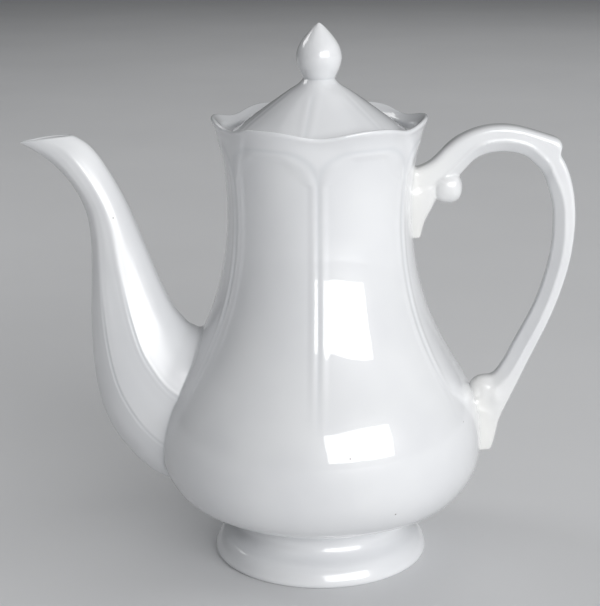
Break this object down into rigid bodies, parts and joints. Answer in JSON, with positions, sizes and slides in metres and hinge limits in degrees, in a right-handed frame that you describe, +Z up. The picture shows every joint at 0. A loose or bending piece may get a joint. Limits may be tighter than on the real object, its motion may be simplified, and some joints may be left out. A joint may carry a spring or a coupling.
{
  "type": "coffee pot",
  "caption": "Tall pear-shaped coffee pot with a fluted petal rim, S-curved spout, scrolled loop handle, pedestal foot and loose conical lid with a bud finial.",
  "frame": {"origin": "on the table plane, at the centre of the footprint box of the whole pot", "axes": "+Z up along the pot's turning axis, spout towards -X, handle towards +X, +Y across the pot"},
  "size_m": [0.2416, 0.1452, 0.24],
  "materials": {
    "white_glaze": "glossy clear glaze over white ironstone",
    "lid_glaze": "glossy clear glaze over white ironstone",
    "foot_glaze": "glossy glaze, wiped bare on the ring that stands on the table"
  },
  "bodies": {
    "pot": {"pot_body": "white_glaze", "foot_ring": "foot_glaze", "spout": "white_glaze", "handle": "white_glaze"},
    "lid": {"lid": "lid_glaze", "lid_finial": "lid_glaze"}
  },
  "joints": [
    {"name": "lid_lift", "type": "slide", "parent": "pot", "child": "lid", "axis": [0, 0, 1], "range_m": [0, 0.06]}
  ]
}
